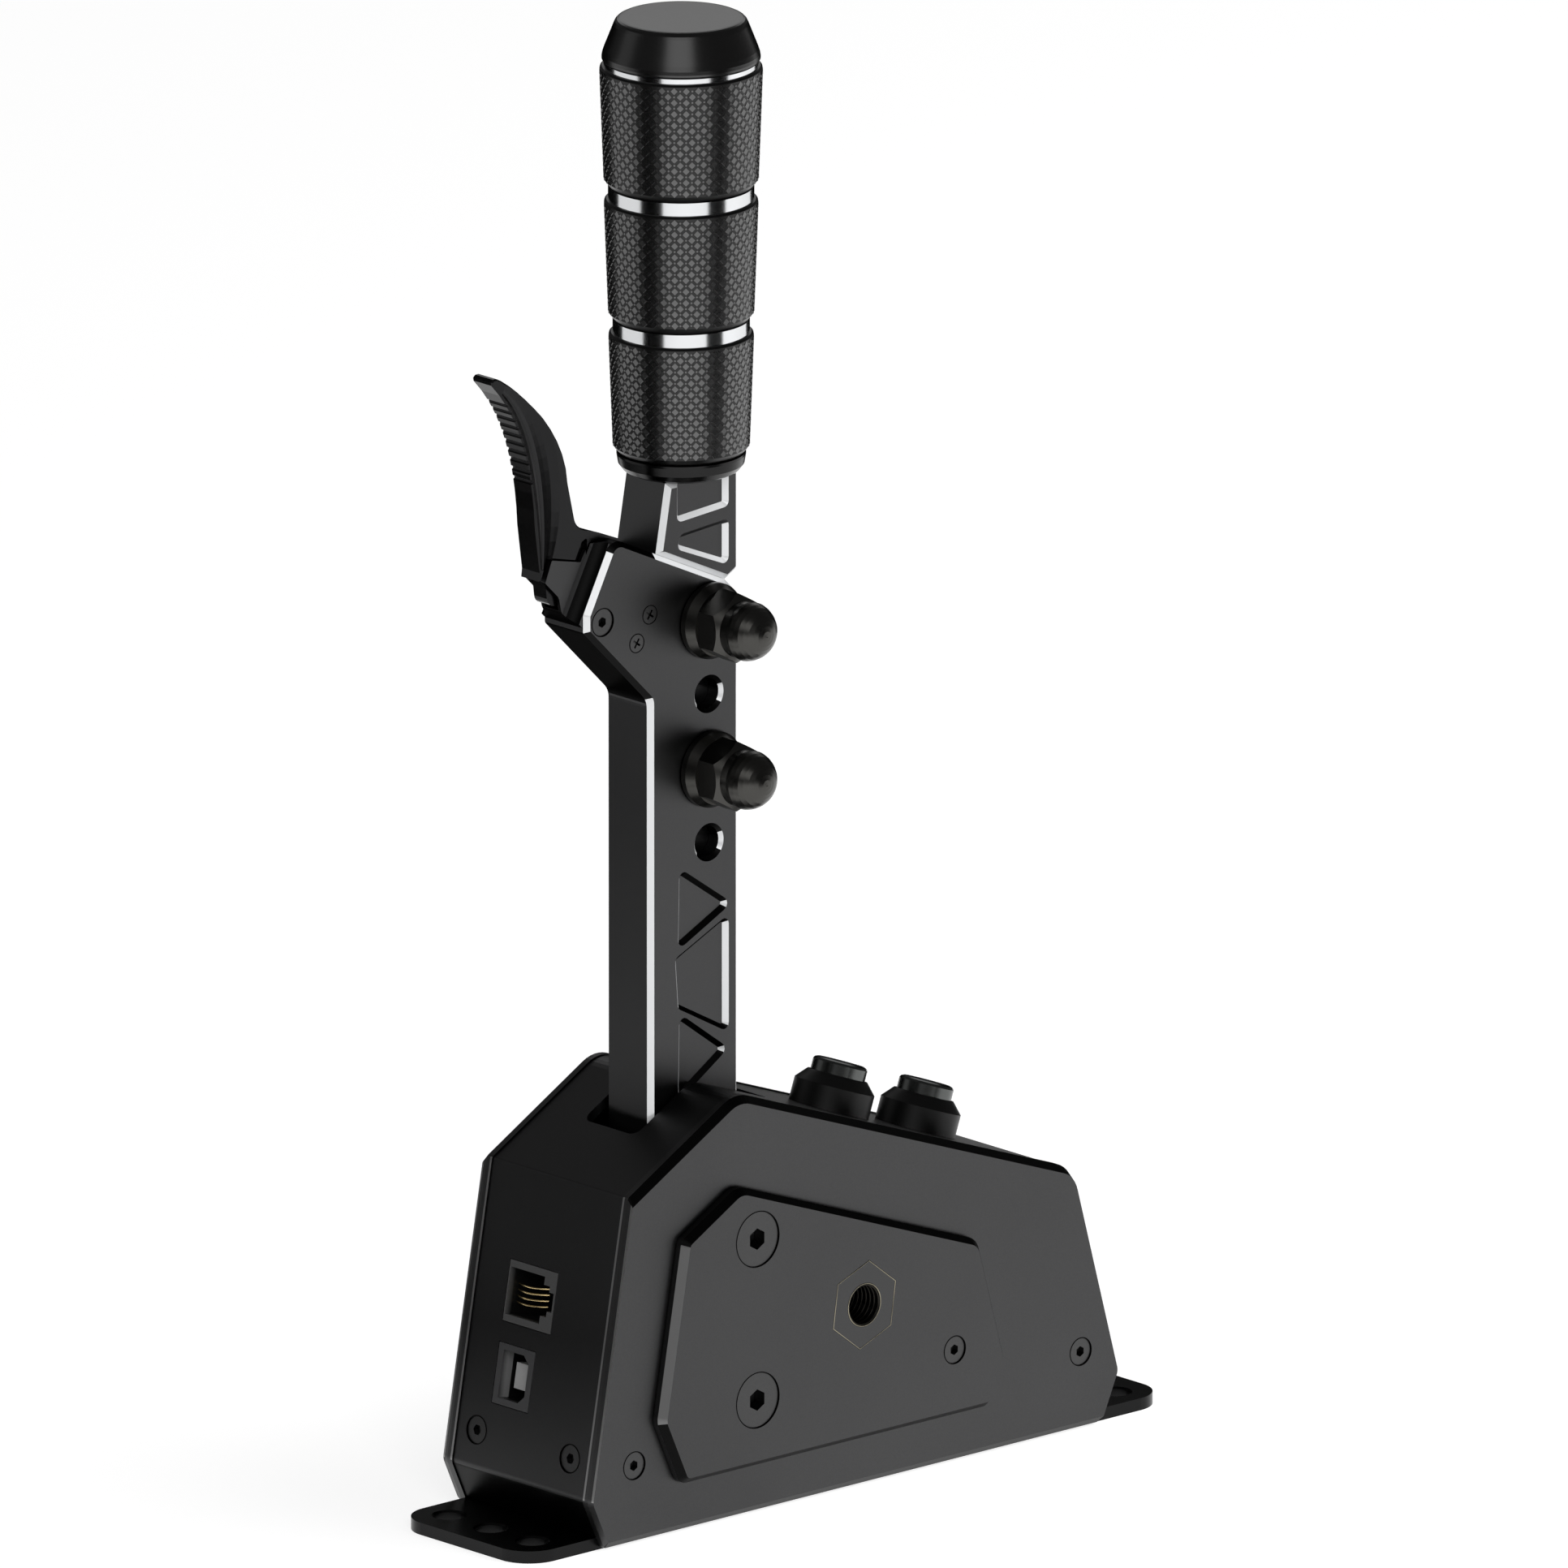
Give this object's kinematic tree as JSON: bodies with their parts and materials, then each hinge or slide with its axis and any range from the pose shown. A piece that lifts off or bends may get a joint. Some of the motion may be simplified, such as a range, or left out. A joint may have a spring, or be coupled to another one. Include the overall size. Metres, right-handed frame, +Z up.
{
  "type": "sequential shifter",
  "caption": "Simulator gear shifter: metal housing with side panel, buttons and rear sockets, and a sprung lever with a trigger behind its ringed grip.",
  "frame": {"origin": "centre of the base plate's underside, on the surface it is bolted to", "axes": "+Z up, +X along the base towards the push buttons and the lever's grip side away from the sockets, -Y is the side with the raised panel"},
  "size_m": [0.1784, 0.0491, 0.3141],
  "materials": {
    "anodised_black": "satin black anodised",
    "anodised_lever": "satin black anodised with bare bevels",
    "machined_black": "turned and black anodised",
    "knurled_black": "fine diamond knurl, black anodised",
    "bare_aluminium": "turned",
    "machined_block": "milled",
    "black_steel": "black oxide",
    "bright_steel": "ground or zinc plated",
    "spring_steel": "drawn wire",
    "socket_plastic": "moulded",
    "tongue_plastic": "moulded",
    "cap_plastic": "moulded",
    "switch_plastic": "moulded",
    "gold_contacts": "gold plated",
    "brass_turned": "turned",
    "board_green": "circuit board",
    "rubber_black": "moulded"
  },
  "bodies": {
    "housing": {"base_plate": "anodised_black", "side_plate_near": "anodised_black", "side_plate_far": "anodised_black", "side_panel": "anodised_black", "cover": "anodised_black", "rear_block": "machined_block", "front_block": "machined_block", "centring_block": "machined_block", "hex_inserts": "black_steel", "cross_rod": "bare_aluminium", "pivot_axle": "bright_steel", "axle_spacers": "bare_aluminium", "stop_pin": "bright_steel", "stop_bumper": "rubber_black", "pivot_screws": "black_steel", "side_screws": "black_steel", "end_screws": "black_steel", "base_screws": "black_steel", "io_board": "board_green", "board_standoffs": "brass_turned", "data_socket": "socket_plastic", "data_contacts": "gold_contacts", "usb_socket": "bright_steel", "usb_tongue": "tongue_plastic", "sensor_board": "board_green", "control_board": "board_green", "board_spacers": "brass_turned", "board_screws": "bright_steel", "button_bezels": "machined_black", "button_nuts": "bright_steel", "centring_springs": "spring_steel", "button_spring_rear": "spring_steel", "button_spring_front": "spring_steel"},
    "lever": {"lever_bar": "anodised_lever", "lever_bearings": "bright_steel", "sensor_magnet": "bright_steel", "stem": "anodised_lever", "clamp_bolts": "black_steel", "clamp_washers": "black_steel", "cap_nuts": "black_steel", "grip_core": "bare_aluminium", "grip_collar": "machined_black", "grip_sleeve_lower": "knurled_black", "grip_sleeve_middle": "knurled_black", "grip_sleeve_upper": "knurled_black", "grip_rings": "bare_aluminium", "grip_cap": "machined_black", "trigger_pin": "black_steel", "trigger_switch": "switch_plastic", "switch_screws": "black_steel", "trigger_spring": "spring_steel"},
    "trigger": {"trigger": "anodised_lever"},
    "button_rear": {"button_rear": "cap_plastic"},
    "button_front": {"button_front": "cap_plastic"}
  },
  "joints": [
    {"name": "lever_tilt", "type": "hinge", "parent": "housing", "child": "lever", "pos_m": [-0.0307, 0, 0.0256], "axis": [0, 1, 0], "range_deg": [-4, 4], "stiffness_Nm_per_rad": 120, "deforming": ["centring_springs"]},
    {"name": "trigger_pull", "type": "hinge", "parent": "lever", "child": "trigger", "pos_m": [-0.0561, 0, 0.1922], "axis": [0, 1, 0], "range_deg": [0, 4], "stiffness_Nm_per_rad": 2, "springref_deg": -2.86, "deforming": ["trigger_spring"]},
    {"name": "button_rear_push", "type": "slide", "parent": "housing", "child": "button_rear", "axis": [-0.342, 0, -0.9397], "range_m": [0, 0.0015], "stiffness_N_per_m": 1500, "springref_m": -0.001, "deforming": ["button_spring_rear"]},
    {"name": "button_front_push", "type": "slide", "parent": "housing", "child": "button_front", "axis": [-0.342, 0, -0.9397], "range_m": [0, 0.0015], "stiffness_N_per_m": 1500, "springref_m": -0.001, "deforming": ["button_spring_front"]}
  ]
}
